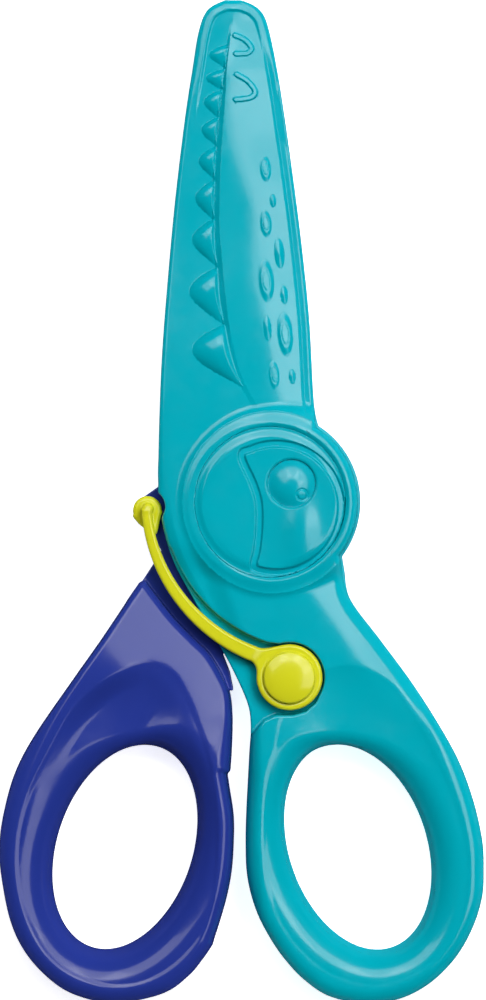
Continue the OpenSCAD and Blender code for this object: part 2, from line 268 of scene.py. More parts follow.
def refine(field, verts, tris, tolerance, shortest):
    """Splits the triangles whose edges stand off the surface, or whose shading would, by too much."""
    edges = np.sort(np.concatenate([tris[:, [0, 1]], tris[:, [1, 2]], tris[:, [2, 0]]]), 1)
    edges, which = np.unique(edges, axis=0, return_inverse=True)
    which = which.reshape(3, -1).T
    middle = (verts[edges[:, 0]] + verts[edges[:, 1]]) / 2
    length = np.linalg.norm(verts[edges[:, 0]] - verts[edges[:, 1]], axis=1)
    f, g = slope(field, middle)
    off = np.abs(f) / np.maximum(np.linalg.norm(g, axis=1), 0.3)
    normals = unit(slope(field, verts)[1])
    true = unit(g)
    turn = np.linalg.norm(true - unit(normals[edges[:, 0]] + normals[edges[:, 1]]), axis=1)
    shaded = (turn > BEND) & (length > LONG) & (true[:, 2] > -0.1)
    split = ((off > tolerance) | shaded) & (length > shortest)
    # A triangle with two split edges gets its third one split too.
    while True:
        hit = split[which]
        need = which[(hit.sum(1) == 2)]
        if not len(need):
            break
        split[need.ravel()] = True
    index = -np.ones(len(edges), np.int64)
    index[split] = len(verts) + np.arange(split.sum())
    verts = np.concatenate([verts, settle(field, middle[split], 3, 0.15)])
    mids = index[which]
    hits = (mids >= 0).sum(1)
    a, b, c = tris[hits == 3].T
    ab, bc, ca = mids[hits == 3].T
    out = [tris[hits == 0], np.stack([a, ab, ca], 1), np.stack([b, bc, ab], 1),
           np.stack([c, ca, bc], 1), np.stack([ab, bc, ca], 1)]
    one, one_mids = tris[hits == 1], mids[hits == 1]
    for k in range(3):
        pick = one_mids[:, k] >= 0
        p, q, r = one[pick, k], one[pick, (k + 1) % 3], one[pick, (k + 2) % 3]
        m = one_mids[pick, k]
        out += [np.stack([p, m, r], 1), np.stack([m, q, r], 1)]
    return verts, np.concatenate(out)


def solid(name, field, low, high, step, tolerance=0.012, rounds=2, normals=True):
    """A mesh object of the field's zero surface, in metres."""
    verts, tris = net(field, low, high, step)
    verts = settle(field, verts, 4, step * 0.4)
    shortest = step * 0.6
    for _ in range(rounds):
        verts, tris = refine(field, verts, tris, tolerance, shortest)
        shortest *= 0.5
    mesh = bpy.data.meshes.new(name)
    mesh.from_pydata((verts * MM).tolist(), [], tris.tolist())
    mesh.polygons.foreach_set("use_smooth", [True] * len(tris))
    if normals:
        mesh.normals_split_custom_set_from_vertices(unit(slope(field, verts)[1]).tolist())
    mesh.update()
    piece = bpy.data.objects.new(name, mesh)
    bpy.context.scene.collection.objects.link(piece)
    print(f"{name}: {len(verts)} vertices, {len(tris)} triangles")
    return piece


# ---------------------------------------------------------------- heights shared with the CAD model
def top_of(node):
    """Top of a CAD node in millimetres."""
    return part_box(node)[1].z / MM


def bottom_of(node):
    """Bottom of a CAD node in millimetres."""
    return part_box(node)[0].z / MM


# Clearances between pieces that lie against each other and between the two levers' inner faces.
GAP, LEVER_GAP = 0.02, 0.3
BLADE_THICKNESS, SCREW_R = 1.0, 1.52
LOOP_TOP = top_of("rear_lever")
SHEAR_Z = bottom_of("front_blade") - GAP
FRONT_LOW = SHEAR_Z + LEVER_GAP / 2
REAR_HIGH = SHEAR_Z - LEVER_GAP / 2
REAR_BLADE_LOW = SHEAR_Z - GAP - BLADE_THICKNESS
CAP_SEAT = bottom_of("front_pivot_cap") - GAP
# Faces: the jaw's tip, the front neck and the disc; the rear neck, the part inside the rear loop's
# crest and the rear loop.
JAW_Z, NECK_Z, DISC_Z = 7.45, 8.85, 9.46
REAR_NECK_Z, REAR_INNER_Z, REAR_LOOP_Z = 8.4, 9.0, 9.85
# Undersides of the rear lever's jaw cover, plate and disc.
REAR_JAW_LOW, REAR_PLATE_LOW, REAR_DISC_LOW = 1.8, 1.4, 0.4
RECESS_Z = 6.6
# Further than this from the pivot the front lever is as thick as the loops.
DEEP_R = 21.6
CAP_R = 10.1
DISC_R = 12.2
REAR_DISC_R = DISC_R - 0.4
REAR_CAP_SEAT_R, REAR_CAP_SEAT_Z = 9.55, 0.67
POST_R = 2.45

# ---------------------------------------------------------------- plan outlines
MIDDLE_X, HOLE_X, HOLE_Y = -3.85, 15.75, -46.6
HOLE_A, HOLE_B, HOLE_TILT = 14.2, 9.1, 18.7


def finger_hole(side):
    """Outline of a finger hole; side is 1 for the front lever and -1 for the rear one."""
    a = np.radians(np.arange(0, 360, 2.5))
    tilt = math.radians(-90 + side * HOLE_TILT)
    u, v = HOLE_A * np.cos(a), HOLE_B * np.sin(a)
    return np.stack([MIDDLE_X + side * HOLE_X + u * math.cos(tilt) - v * math.sin(tilt),
                     HOLE_Y + u * math.sin(tilt) + v * math.cos(tilt)], 1)


JAW_LEFT = spline([(-15.1, 0), (-15, 8.4), (-14.6, 19.2), (-13.8, 30), (-12.8, 40.8), (-11.5, 51.6),
                   (-10.5, 58.2), (-9.6, 63.6), (-8.4, 66.4), (-6.1, 67.7)])
JAW_RIGHT = spline([(-3.8, 67.7), (-1.6, 66.6), (-0.3, 64.3), (1.2, 57), (2.8, 46.2), (4.2, 35.4),
                    (5.3, 24.6), (5.9, 13.8), (6.6, 10)])
FRONT_HANDLE = np.concatenate([
    [(8, 3)], spline([(10.1, -9.5), (10.9, -13.2), (14.9, -18.6), (18.9, -24), (22.4, -29.4),
                      (25.4, -34.8), (27.4, -40.2), (28.6, -45.5), (28.8, -49.4), (28.6, -53.2),
                      (27.3, -57.4), (25, -61.4), (21.6, -64.8), (17.6, -66.9), (13, -67.6),
                      (8, -66.6), (4.5, -64.3), (1.8, -61.4), (-0.1, -58.6), (-1.7, -55.5),
                      (-2.7, -52.4), (-3.2, -49.4), (-3.3, -45.5), (-3.2, -41.7), (-3, -37.8),
                      (-2.8, -34), (-2.6, -30.5), (-3, -27.3), (-5, -22.7), (-7.6, -18),
                      (-10.3, -13.2), (-13.1, -7.8), (-14.6, -2.4), (-15.1, 3), (-15, 7)])])
REAR_HANDLE = np.concatenate([
    spline([(-16.8, -10.7), (-13.2, -15.4), (-10.2, -18.5), (-8.3, -20.4), (-6.7, -22.9),
            (-5.5, -25.6), (-5.1, -29), (-5.2, -33.5), (-5.4, -36.4)]),
    spline([(-5.8, -36.7), (-5.5, -38.7), (-4.95, -42.5), (-4.95, -46.1), (-5.2, -49.8),
            (-5.8, -53.1), (-6.65, -56.2), (-7.6, -59.2)]),
    spline([(-7.75, -59.8), (-8.9, -61.5), (-10.9, -63.9), (-14.4, -66.3),
            (-20.6, -67.6), (-25.4, -66.8), (-29.1, -64.9), (-32.8, -61.1), (-35.1, -56.4),
            (-36.4, -49.8), (-36.55, -46.1), (-35.9, -41.7), (-34.4, -36.5), (-31.7, -31.4),
            (-26.6, -24), (-22.8, -18.6), (-19.2, -13.2), (-17.6, -10.9)])])
HORN_R, HORN_ANGLE, SHOULDER_ANGLE, TRACK_R = 17.3, 178.2, 182.18, 16.14
REAR_PLATE = np.concatenate([
    [(0, 6), (-11, 5)], arc((0, 0), HORN_R, HORN_ANGLE, SHOULDER_ANGLE, 4),
    arc((0, 0), TRACK_R, SHOULDER_ANGLE, 204.3),
    [(-15.8, -8.4), (-17.1, -10.4), (-20, -14.7), (-9.5, -24), (-4.9, -25.6), (-5.4, -23),
     (-6.4, -20.4), (-3, -20.6), (6, -8)]])
REAR_JAW = np.concatenate([
    spline([(-8.4, 0), (-9.2, 8.4), (-9.4, 19.2), (-9.2, 30), (-8.8, 40.8), (-8.2, 51.6),
            (-7.6, 60), (-6.6, 64.6), (-4.9, 66.3)]),
    spline([(-3.4, 65.9), (-2.1, 63.2), (-0.2, 54), (1.6, 43.5), (3.2, 32.7), (4.3, 21.9),
            (5, 11.4), (6, 0)])])
# Crests round the scoops of the two loops.
FRONT_CREST = [(1.2, -28.7), (3.4, -25.6), (7.4, -22.6), (11.7, -22), (16.2, -24.2),
               (19.2, -28.2), (22, -33), (24.8, -38.8), (26.6, -44.7), (27.1, -50.4),
               (26, -56.8), (23, -61.6), (18.5, -64.5), (13.5, -65.4), (8, -63.9), (3.8, -60.6),
               (0.8, -56.3), (-0.8, -51.5), (-1.3, -46.5), (-1, -41.5), (-0.3, -36),
               (0.5, -31.5)]
REAR_CREST = [(-16.3, -21.5), (-20.2, -22.7), (-23.8, -24.9), (-26.9, -28.1), (-29.7, -32.9),
              (-32.7, -38.9), (-34.2, -44.6), (-34.4, -49.8), (-33.5, -54.4), (-30.8, -60.1),
              (-27.1, -63.5), (-21.7, -65.4), (-16.2, -64.6), (-11.5, -61.5), (-8.1, -56.8),
              (-6.8, -49.8), (-6.7, -42.4), (-7.1, -38), (-8.1, -33.2), (-9.4, -29.5),
              (-11.1, -25.8), (-13.2, -22.7)]
MOUTH = spline([(-0.4, 9), (-1.9, 12), (-3.9, 15.5), (-5.1, 18.6), (-6.6, 24.9), (-7.4, 31.9),
                (-7.8, 38.1), (-7.5, 48.1), (-6.75, 55.3), (-5.9, 61.3), (-5.25, 66),
                (-4.9, 69)])

jaw_plan = outline(np.concatenate([[(-13.6, -6), (-14.6, -2.4)], JAW_LEFT, JAW_RIGHT,
                                   [(6, -3)]]))
front_handle_plan = outline(FRONT_HANDLE)
front_hole_plan = outline(finger_hole(1))
rear_hole_plan = outline(finger_hole(-1))
rear_handle_plan = outline(REAR_HANDLE)
rear_plate_plan = outline(REAR_PLATE)
rear_jaw_plan = outline(REAR_JAW)
rear_crest_plan = outline(spline(REAR_CREST, closed=True))
front_crest_plan = outline(spline(FRONT_CREST, closed=True))


def mouth_x(y):
    """X of the mouth line."""
    return np.interp(y, MOUTH[:, 1], MOUTH[:, 0])


def right_x(y):
    """X of the front jaw's right edge."""
    return np.interp(-y, -JAW_RIGHT[:, 1], JAW_RIGHT[:, 0])


def waved(start, end, count=240, wave_h=0.6, wave_l=5.2):
    """Wavy cutting edge between two points."""
    start, end = np.array(start, float), np.array(end, float)
    t = np.linspace(0, 1, count)[:, None]
    along = end - start
    length = np.linalg.norm(along)
    side = np.array([along[1], -along[0]]) / length
    return start + along * t + wave_h * np.sin(2 * math.pi * t * round(length / wave_l)) * side


FRONT_WAVE = waved((4.1, 12), (-2.2, 62.6))
REAR_WAVE = waved((-11, 14), (-8.6, 60))
front_blade_plan = outline(np.concatenate([
    FRONT_WAVE, spline([(-5.2, 64.4), (-8.2, 60), (-10.4, 48), (-11.9, 34), (-12.4, 20),
                        (-11.4, 8), (-8.6, 0.6)]), arc((0, 0), 8.6, 184, 368)]))
rear_blade_plan = outline(np.concatenate([
    REAR_WAVE, spline([(-6.4, 63.6), (-4.2, 62.6), (-1.8, 52), (0.9, 38), (2.6, 24), (4.2, 12),
                       (8.4, 2)]), arc((0, 0), 8.6, 8, -180)]))


# ---------------------------------------------------------------- the loops' section
def band_width(hole, inner):
    """0 where the loop's band is narrow and 1 where it is wide."""
    return step_up(4.8, 10.2, np.maximum(hole, 0) + inner)


def scoop(hole, crest, level, step=0.16, depth=1.5):
    """Height of a loop's face inside its crest: a small step where the band is narrow; where it is
    wide, a hollow that rises again to a low lip round the hole."""
    inner = (np.hypot(crest, 0.2) - crest) / 2
    wide = band_width(hole, inner)
    lip = 0.1 * step_up(6.4, 2.2, hole) * step_up(0, 2, inner)
    hollow = depth * (1 - np.exp(-inner / 3.6)) - lip
    return level - wide * hollow - (1 - wide) * step * step_up(0, 0.8, inner)


def loop_radius(y):
    """Radius of the outer edge, which grows from the jaw to the loop."""
    return 0.6 + 0.25 * step_up(12, 4, y) + 1.2 * step_up(-25, -38, y)


# ---------------------------------------------------------------- front lever
# Each tooth: top and bottom along the mouth line, how far it stands out to the left, its height.
TEETH = [(61.7, 58.6, 2.2, 0.45), (58.4, 55.6, 2.1, 0.45), (55.6, 51.9, 2.0, 0.5),
         (51.9, 48.1, 1.9, 0.5), (47.9, 43.6, 2.0, 0.55), (43.3, 38.1, 2.3, 0.6),
         (38.1, 31.8, 2.8, 0.7), (31.6, 23.9, 3.8, 0.8), (23.9, 15.5, 4.9, 0.9)]
# Each scale: centre, half width, half length; the first five are ringed.
SCALES = [(-0.6, 44.9, 0.76, 1.8), (-0.55, 37.5, 0.77, 1.86), (-0.5, 29.8, 1.04, 2.95),
          (2.05, 22.6, 1.04, 3.0), (0.55, 17.1, 0.73, 2.0), (0.4, 40.6, 0.44, 0.97),
          (1.25, 33.5, 0.73, 2.2), (1.9, 27.9, 0.51, 1.35), (-0.35, 23.4, 0.57, 1.9),
          (3.0, 16.9, 0.46, 1.08)]
RINGED = 5
SCALE_TILT = math.radians(5)
NOSTRILS = [spline([(-4.7, 62.9), (-3.4, 62.3), (-2.5, 61.2), (-3.1, 60.5), (-4.6, 60.4)]),
            spline([(-4.5, 57.6), (-3.0, 56.7), (-2.0, 55.3), (-2.7, 54.5), (-4.6, 54.2)])]
nostril_plan = Plan(lambda x, y: np.minimum(*[line_distance(n, x, y, False) for n in NOSTRILS]),
                    (-6.5, 52.5), (-0.5, 65), 0.1)
# How far the snout stands above the lower jaw.
RAISE = 0.8


def teeth(x, y):
    """Puffy teeth that stand on the lower jaw against the mouth's wall."""
    out = np.zeros(np.broadcast(x, y).shape)
    for y1, y0, reach, height in TEETH:
        t = np.clip((y1 - y) / (y1 - y0), 0, 1)
        bulge = np.sin(math.pi * t**0.85) ** 1.15
        left = mouth_x(y) - reach * bulge
        s = np.clip((x - left) / np.maximum(reach * bulge + 0.3, 0.05), 0, 1)
        rise = 1 - (1 - np.minimum(s / 0.8, 1)) ** 2 - 0.7 * step_up(0.84, 1, s)
        puff = 1.35 * height * rise * np.sin(math.pi * t**0.7)
        out = np.maximum(out, np.where((s > 0) & (s < 1), puff, 0))
    return out


def scales(x, y):
    """Raised scales on the snout; the ringed ones have a crater in their crest."""
    out = np.zeros(np.broadcast(x, y).shape)
    for i, (cx, cy, half_w, half_l) in enumerate(SCALES):
        u = (x - cx) * math.cos(SCALE_TILT) + (y - cy) * math.sin(SCALE_TILT)
        v = (y - cy) * math.cos(SCALE_TILT) - (x - cx) * math.sin(SCALE_TILT)
        e = np.hypot(u / half_w, v / half_l)
        if i < RINGED:
            out = out + 0.27 * half_w * step_up(1.04, 0.5, e) - 0.05 * bump(e, 0.5, 0.12)
        else:
            cone = np.maximum(1.02 - np.hypot(e, 0.18), 0)
            out = out + 0.58 * half_w * cone * step_up(1, 0.8, e)
    return out


def nostrils(x, y):
    """Low tubes that outline the nostrils."""
    return 0.26 * step_up(0.42, 0.2, nostril_plan(x, y))


def jaw_top(x, y):
    """Face of the front jaw: the lower jaw with its teeth on the left, the snout on the right."""
    s = (x - mouth_x(y)) * 0.99
    edge = np.maximum(-jaw_plan(x, y), 0)
    wall = 0.4 + 0.6 * step_up(62, 50, y) - 0.3 * step_up(28, 18, y)
    amount = RAISE * (0.12 + 0.88 * step_up(12, 29, y)) * step_up(66, 57, y)
    width = right_x(y) - mouth_x(y)
    off = np.minimum(s, width - 1.3) - (0.02 + 0.4 * step_up(57, 38, y)) * width
    fall = (np.hypot(off, 2.4) + off) / 2
    snout = amount * np.clip(s / wall, 0, 1) - 0.21 * fall * step_up(-2, 6, y)
    # A rim round the tip leans outwards; the right side has a narrow ledge below the snout.
    right = step_up(1, 3, s)
    rim = 0.24 * step_up(0, 1.3, edge) * step_up(1.65, 1.25, edge)
    rim = rim * step_up(50, 61, y) * (1 - right * step_up(64, 56, y))
    ledge = -0.42 * step_up(1.6, 1.15, edge) * right * step_up(65, 56, y) * step_up(7, 11, y)
    side = -0.04 * step_up(1.5, 0.3, edge) * (1 - right) * step_up(60, 50, y)
    relief = scales(x, y) + nostrils(x, y) + teeth(x, y) * (s < wall * 0.5)
    return JAW_Z + 1.2 * step_up(40, 10, y) + snout + rim + ledge + side + relief


def neck_top(x, y):
    """Face of the front neck and loop."""
    edge = np.maximum(-front_handle_plan(x, y), 0)
    level = NECK_Z + 0.65 * step_up(-16, -36, y)
    # The strip beside the spring is lower.
    border = np.interp(-y, [8, 9.8, 11.2, 15.5, 19, 24], [-9.0, -8.6, -8.2, -6.75, -5.2, -3.5])
    strip = (1 - step_up(-0.6, 2.8, x - border)) * step_up(-5, -10.5, y)
    # The right half leans outwards and ends in a bevel.
    lean = x * 0.81 + y * 0.59 + 3.2
    lean = (np.hypot(lean, 1) + lean) / 2
    level = level - 0.2 * lean * step_up(-31, -22, y) * step_up(-6, -11, y)
    level = level - 0.75 * strip - 0.4 * step_up(1.7, 0.4, edge) * step_up(-34, -24, y)
    return scoop(front_hole_plan(x, y), front_crest_plan(x, y), level, 0.09, 1.1)


def disc_top(x, r):
    """Face of the cap and of the raised ring round it. On the left the ring is wider, and a shallow
    groove takes the place of the raised seam."""
    left = np.maximum(-x, 0) / np.maximum(r, 1)
    groove = 0.32 * left * bump(r, 10.1, 1.05)
    r = r + 0.5 * left
    seam = 0.31 * (step_up(8.7, 9.9, r) - step_up(10.05, 10.7, r)) * (1 - left)
    ring_slope = 0.47 * step_up(10.5, 12.3, r) + 1.1 * np.maximum(r - 12.3, 0)
    return DISC_Z - seam - groove - ring_slope


def front_top(x, y):
    """Face of the front lever: the neck and the jaw run into each other under the disc's ring."""
    r = np.hypot(x, y)
    neck = neck_top(x, y)
    plain = neck + (jaw_top(x, y) - neck) * step_up(-7, 7, y)
    return np.where(r < 15, soft_max(plain, disc_top(x, r), 0.9), plain)


def front_edge(x, y):
    """Plan distance to the whole front lever's outline."""
    return np.minimum(np.minimum(jaw_plan(x, y), front_handle_plan(x, y)),
                      np.hypot(x, y) - DISC_R)


ARM_CENTRE, ARM_R = (6.05, 0.8), 22.8
BUTTON = (2.6, -23.6)
HEAD = (-16.55, -1.15)
HEAD_R = 1.95
EYE_SEAT_R, SHANK_HOLE_R = 4.72, 1.93
LEDGE_Z, DEEP_TOP = 6.35, 7
recess_plan = outline(np.concatenate([
    arc(ARM_CENTRE, ARM_R - 2.1, 200, 252),
    [(5, -19.5), (5, -23.6), (6.9, -25.5), (6.2, -27), (4.8, -28.2), (3, -28.7), (0.7, -28.7),
     (-0.8, -29.4), (-2.2, -31), (-6, -34), (-16, -30), (-17, -5)]]))


def front_lever_field(x, y, z):
    """Front lever: jaw cover, disc with the cap's seat, neck with the spring's recess, and loop."""
    r = np.hypot(x, y)
    hole, crest = front_hole_plan(x, y), front_crest_plan(x, y)
    top, edge = front_top(x, y), front_edge(x, y)
    # A narrow lip runs along the lower edge of the disc's right side.
    lip = 0.42 * step_up(-2, 4, x + 0.1 * y) * step_up(-14, -9, y) * step_up(14, 9, y)
    upper = meet(z - top, edge + lip, loop_radius(y))
    upper = np.minimum(upper, meet(z - LEDGE_Z, edge, 0.25))
    upper = meet(upper, FRONT_LOW - z, 0.3)
    # The neck's lower part and the loop are thick; the loop's back has the face's section.
    low_face = LOOP_TOP - scoop(hole, crest, LOOP_TOP - 0.45)
    deep = meet(low_face - z, front_handle_plan(x, y), loop_radius(y))
    deep = meet(deep, DEEP_R + 0.1 - r, 1.0)
    deep = np.maximum(deep, z - DEEP_TOP)
    body = np.minimum(upper, deep)
    body = meet(body, -hole, 4.5 - 2.2 * band_width(hole, np.maximum(-crest, 0)))
    # The spring's recess, its eye's seat, the notch beside its head, the cap's seat and the
    # hole for the button's shank.
    eye = np.hypot(x - BUTTON[0], y - BUTTON[1])
    pocket = np.minimum(recess_plan(x, y), eye - EYE_SEAT_R)
    body = meet(body, -meet(RECESS_Z - z, pocket, 0.35), 0.3)
    notch = np.minimum(np.hypot(x - HEAD[0], y - HEAD[1]),
                       np.hypot(x - HEAD[0] - 0.25, y - HEAD[1] - 0.55)) - HEAD_R - 0.22
    body = meet(body, -notch, 0.2)
    body = meet(body, -meet(r - CAP_R - 0.05, CAP_SEAT - z, 0.05), 0.05)
    return meet(body, -np.maximum(eye - SHANK_HOLE_R, -3 - z), 0.05)


EYE, EYE_R, EYE_SPHERE_R = (2.9, 2.5), 3.32, 6.0
PUPIL, PUPIL_R = (4.3, 1.0), 0.72
island_plan = outline(np.concatenate([
    spline([(-3.1, 6.98), (-3.65, 6.75), (-3.8, 6.1), (-3.45, 5.0), (-2.35, 2.7), (-1.55, 0.1),
            (-1.45, -3.05), (-1.75, -6.35), (-2.2, -8.2), (-2.1, -8.85), (-1.5, -9.1)]),
    arc((0.9, -0.8), 8.65, 256, 475, 60)]))


def front_cap_field(x, y, z):
    """Domed cap with a crescent island in a groove and an eye."""
    r = np.hypot(x, y)
    top = disc_top(x, r)
    island = island_plan(x, y)
    top = top - 0.42 * step_up(0.6, 0.28, np.abs(island))
    hump = np.exp(-((x - 4.1) / 1.55) ** 2 / 2 - ((y + 3.6) / 3.2) ** 2 / 2)
    top = top + 0.52 * hump * step_up(-0.3, -1.6, island)
    eye = np.hypot(x - EYE[0], y - EYE[1])
    dome = 0.42 - EYE_SPHERE_R + np.sqrt(EYE_SPHERE_R**2 - np.minimum(eye, 4) ** 2)
    pupil = np.hypot(x - PUPIL[0], y - PUPIL[1])
    top = top + dome * step_up(EYE_R, EYE_R - 0.16, eye)
    top = top - 0.1 * bump(eye, EYE_R - 0.02, 0.22) - 0.16 * bump(pupil, PUPIL_R, 0.24)
    return meet(meet(z - top, r - CAP_R - 0.04, 0.03), CAP_SEAT + GAP - z, 0.1)


# ---------------------------------------------------------------- rear lever
def rear_edge(x, y):
    """Plan distance to the whole rear lever's outline."""
    thin = np.minimum(rear_plate_plan(x, y), rear_jaw_plan(x, y))
    return np.minimum(np.minimum(thin, rear_handle_plan(x, y)), np.hypot(x, y) - REAR_DISC_R)


def rear_lever_field(x, y, z):
    """Rear lever: thin plate and jaw cover, disc, thick neck and loop, and the blade's bed."""
    r = np.hypot(x, y)
    hole, crest = rear_hole_plan(x, y), rear_crest_plan(x, y)
    handle = rear_handle_plan(x, y)
    # The neck's face leans towards the pivot.
    lean = (x + 16) * 0.77 + (y + 19) * 0.64
    level = REAR_NECK_Z - 0.2 * soft_max(lean, -7.2, 3)
    level = level + (REAR_INNER_Z - level) * step_up(0, 3, -crest)
    level = level + (REAR_LOOP_Z - level) * step_up(-28, -46, y)
    face = scoop(hole, crest, level)
    # The wall towards the pivot slopes; the other sides are almost upright.
    sloped = step_up(25.5, 22, r) * step_up(-19.5, -16.5, x + 0.25 * y + 4)
    draft = np.maximum(face - 0.6 - z, 0) * (0.04 + 0.36 * sloped)
    thick = meet(z - face, handle - draft + 0.16, loop_radius(y))
    low_face = LOOP_TOP - scoop(hole, crest, LOOP_TOP - 0.45)
    thick = meet(thick, meet(low_face - z, handle, loop_radius(y)), 0.1)
    whole = rear_edge(x, y)
    plate_low = np.where(y > 9, REAR_JAW_LOW, REAR_PLATE_LOW)
    plate = meet(meet(z - REAR_HIGH, whole, 0.15), plate_low - z, 0.7)
    disc = meet(meet(z - REAR_HIGH, r - REAR_DISC_R, 0.15), REAR_DISC_LOW - z, 0.6)
    body = np.minimum(join(plate, np.maximum(thick, whole), 0.25), disc)
    body = meet(body, -hole, 5.0 - 2.6 * band_width(hole, np.maximum(-crest, 0)))
    bed = REAR_BLADE_LOW - GAP
    blade = np.maximum(rear_blade_plan(x, y) - 0.05, bed - z)
    body = np.maximum(body, -blade)
    body = meet(body, -meet(r - REAR_CAP_SEAT_R, z - REAR_CAP_SEAT_Z, 0.05), 0.1)
    return np.maximum(body, POST_R - r)


# ---------------------------------------------------------------- spring and button
def arm_field(x, y, start, end):
    """The arm's bar: width grows towards the button."""
    dx, dy = x - ARM_CENTRE[0], y - ARM_CENTRE[1]
    angle = np.degrees(np.arctan2(-dy, -dx)) + 180
    width = 1.3 + 0.8 * np.clip((angle - 185) / 61, 0, 1)
    off = np.abs(np.hypot(dx, dy) - ARM_R) - width / 2
    beyond = np.maximum(start - angle, angle - end) * math.radians(1) * ARM_R
    return np.maximum(off, beyond)


PIN, PIN_R = (-16.66, -1.165), 0.48
SPRING_EYE_R, SPRING_EYE_HOLE_R = 4.45, 1.96
BUTTON_R, SHANK_R = 3.5, 1.9
head_plan = outline(spline([(-18.45, -1.6), (-17.9, -2.75), (-16.9, -3.6), (-15.75, -4.35),
                            (-15.25, -4.2), (-15.0, -3.2), (-14.7, -1.9), (-14.62, -1.0),
                            (-16.5, -0.3)], closed=True))


def spring_field(x, y, z):
    """The spring: flat eye, curved arm, teardrop head and pin."""
    bar = arm_field(x, y, 184.2, 263)
    eye = np.hypot(x - BUTTON[0], y - BUTTON[1])
    flat = join(bar, eye - SPRING_EYE_R, 1.4)
    arm_top = 8.55 + 0.2 * step_up(6.2, 4.6, eye) - 0.12 * step_up(3.9, 3.4, eye)
    body = meet(meet(z - arm_top, flat, 0.42), 6.82 - z, 0.3)
    # Teardrop head with the pin under it; the rod bends down into it.
    head = np.hypot(x - HEAD[0], y - HEAD[1]) - HEAD_R
    tail = head_plan(x, y)
    plate = meet(meet(z - 6.75, np.minimum(head, tail), 0.55), 4.94 - z, 0.4)
    knuckle = meet(meet(z - 8.45, np.hypot(x - HEAD[0] - 0.1, y - HEAD[1] - 0.25) - 0.72, 0.5),
                   5.5 - z, 0.1)
    pin = meet(np.hypot(x - PIN[0], y - PIN[1]) - PIN_R, 2.25 - z, 0.15)
    pin = np.maximum(pin, z - 6)
    body = join(join(body, plate, 0.35), knuckle, 0.3)
    body = np.minimum(body, pin)
    return meet(body, SPRING_EYE_HOLE_R - eye, 0.1)


def button_field(x, y, z):
    """Domed button with its shank, which has a groove for the clip."""
    r = np.hypot(x - BUTTON[0], y - BUTTON[1])
    dome = 8.72 + 1.12 * np.sqrt(np.clip(1 - (r / 4.1) ** 2, 0, 1))
    cap = meet(meet(z - dome, r - BUTTON_R, 0.22), 8.45 - z, 0.1)
    shank = meet(r - SHANK_R, 1.42 - z, 0.2)
    shank = np.maximum(shank, z - 9)
    groove = np.maximum(1.5 - r, np.abs(z - 2.25) - 0.3)
    return np.maximum(np.minimum(cap, shank), -groove)


# ---------------------------------------------------------------- blades
def blade_field(plan, z_low, bevel_up, holes):
    """Stamped blade with a ground bevel along its edges and holes for the screws."""
    def field(x, y, z):
        edge = plan(x, y)
        ground = np.where(y > 13, 1.0, 0.15)
        above, below = z - z_low - BLADE_THICKNESS, z_low - z
        face, other = (above, below) if bevel_up else (below, above)
        bevel = (face + (edge + ground) * 0.75) * 0.8
        body = np.maximum(np.maximum(meet(face, edge, 0.03), bevel), other)
        body = np.maximum(body, POST_R - np.hypot(x, y))
        for hx, hy in holes:
            body = np.maximum(body, SCREW_R - np.hypot(x - hx, y - hy))
        return body
    return field


# ---------------------------------------------------------------- materials
def linear(r, g, b):
    """Linear colour of an 8-bit screen colour."""
    return tuple(((v / 255 + 0.055) / 1.055) ** 2.4 if v > 10 else v / 255 / 12.92
                 for v in (r, g, b)) + (1,)


class Nodes:
    """A material's node tree with its shader."""

    def __init__(self, name, colour, metallic=0.0, ior=1.5, coat=0.0, coat_roughness=0.05):
        self.material = bpy.data.materials.new(name)
        self.material.use_nodes = True
        self.tree = self.material.node_tree
        self.shader = next(n for n in self.tree.nodes if n.type == "BSDF_PRINCIPLED")
        self.shader.inputs["Base Color"].default_value = colour
        self.shader.inputs["Metallic"].default_value = metallic
        self.shader.inputs["IOR"].default_value = ior
        self.shader.inputs["Coat Weight"].default_value = coat
        self.shader.inputs["Coat Roughness"].default_value = coat_roughness
        self.place = self.tree.nodes.new("ShaderNodeTexCoord").outputs["Object"]

    def stretched(self, *scale):
        """The object's coordinates, stretched."""
        mapping = self.tree.nodes.new("ShaderNodeMapping")
        mapping.inputs["Scale"].default_value = scale
        self.tree.links.new(self.place, mapping.inputs["Vector"])
        return mapping.outputs["Vector"]

    def noise(self, scale, detail=2.0, vector=None):
        """Noise that stays in place on the object."""
        node = self.tree.nodes.new("ShaderNodeTexNoise")
        node.inputs["Scale"].default_value = scale
        node.inputs["Detail"].default_value = detail
        self.tree.links.new(vector or self.place, node.inputs["Vector"])
        return node.outputs["Fac"]

    def spread(self, value, low, high):
        """The middle of a noise value's range spread over low to high."""
        node = self.tree.nodes.new("ShaderNodeMapRange")
        node.inputs["From Min"].default_value = 0.3
        node.inputs["From Max"].default_value = 0.7
        node.inputs["To Min"].default_value = low
        node.inputs["To Max"].default_value = high
        self.tree.links.new(value, node.inputs["Value"])
        return node.outputs["Result"]

    def blend_colours(self, value, first, second):
        """Base colour that goes from first to second with the value."""
        node = self.tree.nodes.new("ShaderNodeMix")
        node.data_type = "RGBA"
        node.inputs["A"].default_value = first
        node.inputs["B"].default_value = second
        self.tree.links.new(value, node.inputs["Factor"])
        self.tree.links.new(node.outputs["Result"], self.shader.inputs["Base Color"])

    def roughness(self, value):
        self.tree.links.new(value, self.shader.inputs["Roughness"])

    def bump(self, value, height, strength=1.0):
        """Fine relief; height is in metres."""
        node = self.tree.nodes.new("ShaderNodeBump")
        node.inputs["Distance"].default_value = height
        node.inputs["Strength"].default_value = strength
        self.tree.links.new(value, node.inputs["Height"])
        self.tree.links.new(node.outputs["Normal"], self.shader.inputs["Normal"])


def shade(colour, factor):
    """A colour made lighter or darker."""
    return tuple(c * factor for c in colour[:3]) + (1,)


